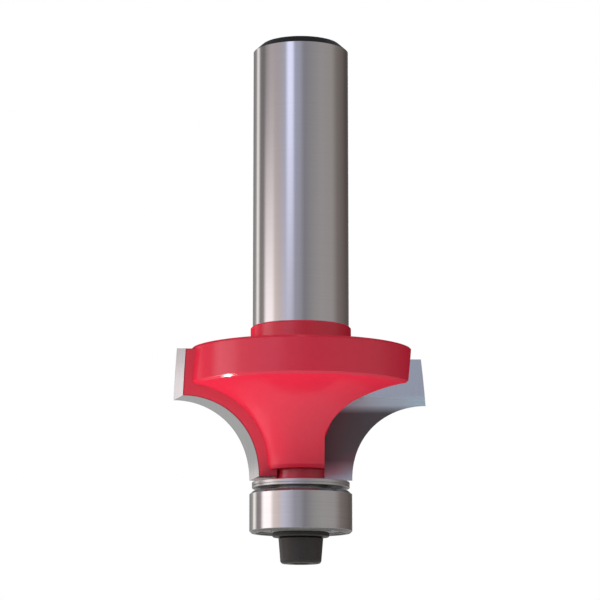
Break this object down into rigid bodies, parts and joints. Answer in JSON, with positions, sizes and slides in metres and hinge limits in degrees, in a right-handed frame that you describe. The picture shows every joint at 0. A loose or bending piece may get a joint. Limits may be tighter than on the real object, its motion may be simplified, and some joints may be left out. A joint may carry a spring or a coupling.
{
  "type": "rounding-over router bit",
  "caption": "Router bit for rounding edges over, with a round shank, brazed carbide tips, a red coated body and a ball bearing pilot under the cutting head.",
  "frame": {"origin": "on the axis, where the shank meets the top face of the collar", "axes": "+Z along the shank, away from the cutting head; +X towards the first carbide tip, whose face lies along X and looks to -Y"},
  "size_m": [0.0312, 0.0282, 0.0655],
  "materials": {
    "red_coated_steel": "glossy red coating on the head, with the shank left as ground bright steel and a dark chamfer at its end",
    "carbide": "fine ground grey",
    "washer_steel": "turned and plated",
    "bearing_steel": "ground and polished",
    "ball_steel": "polished",
    "cage_steel": "pressed sheet",
    "shield_steel": "pressed sheet, satin",
    "wire_steel": "drawn wire",
    "black_steel": "black oxide, satin"
  },
  "bodies": {
    "bit": {"body": "red_coated_steel", "carbide_tip_1": "carbide", "carbide_tip_2": "carbide", "shield_washer": "washer_steel", "bearing_inner_ring": "bearing_steel", "retaining_washer": "black_steel", "socket_screw": "black_steel"},
    "outer_ring": {"bearing_outer_ring": "bearing_steel", "upper_bearing_shield": "shield_steel", "lower_bearing_shield": "shield_steel", "upper_snap_wire": "wire_steel", "lower_snap_wire": "wire_steel"},
    "cage": {"ball_cage": "cage_steel"},
    "ball_1": {"ball_1": "ball_steel"},
    "ball_2": {"ball_2": "ball_steel"},
    "ball_3": {"ball_3": "ball_steel"},
    "ball_4": {"ball_4": "ball_steel"},
    "ball_5": {"ball_5": "ball_steel"},
    "ball_6": {"ball_6": "ball_steel"},
    "ball_7": {"ball_7": "ball_steel"}
  },
  "joints": [
    {"name": "outer_ring_spin", "type": "hinge", "parent": "bit", "child": "outer_ring", "pos_m": [0, 0, -0.02301], "axis": [0, 0, 1], "continuous": true},
    {"name": "cage_spin", "type": "hinge", "parent": "bit", "child": "cage", "pos_m": [0, 0, -0.02301], "axis": [0, 0, 1], "continuous": true},
    {"name": "ball_1_spin", "type": "hinge", "parent": "cage", "child": "ball_1", "pos_m": [0.00437, 0, -0.02301], "axis": [0, 0, 1], "continuous": true},
    {"name": "ball_2_spin", "type": "hinge", "parent": "cage", "child": "ball_2", "pos_m": [0.00272, 0.00341, -0.02301], "axis": [0, 0, 1], "continuous": true},
    {"name": "ball_3_spin", "type": "hinge", "parent": "cage", "child": "ball_3", "pos_m": [-0.00097, 0.00426, -0.02301], "axis": [0, 0, 1], "continuous": true},
    {"name": "ball_4_spin", "type": "hinge", "parent": "cage", "child": "ball_4", "pos_m": [-0.00393, 0.00189, -0.02301], "axis": [0, 0, 1], "continuous": true},
    {"name": "ball_5_spin", "type": "hinge", "parent": "cage", "child": "ball_5", "pos_m": [-0.00393, -0.00189, -0.02301], "axis": [0, 0, 1], "continuous": true},
    {"name": "ball_6_spin", "type": "hinge", "parent": "cage", "child": "ball_6", "pos_m": [-0.00097, -0.00426, -0.02301], "axis": [0, 0, 1], "continuous": true},
    {"name": "ball_7_spin", "type": "hinge", "parent": "cage", "child": "ball_7", "pos_m": [0.00272, -0.00341, -0.02301], "axis": [0, 0, 1], "continuous": true}
  ],
  "couplings": [
    {"joint": "cage_spin", "follows": "outer_ring_spin", "ratio": 0.63635},
    {"joint": "ball_1_spin", "follows": "outer_ring_spin", "ratio": 1.6971},
    {"joint": "ball_2_spin", "follows": "outer_ring_spin", "ratio": 1.6971},
    {"joint": "ball_3_spin", "follows": "outer_ring_spin", "ratio": 1.6971},
    {"joint": "ball_4_spin", "follows": "outer_ring_spin", "ratio": 1.6971},
    {"joint": "ball_5_spin", "follows": "outer_ring_spin", "ratio": 1.6971},
    {"joint": "ball_6_spin", "follows": "outer_ring_spin", "ratio": 1.6971},
    {"joint": "ball_7_spin", "follows": "outer_ring_spin", "ratio": 1.6971}
  ]
}
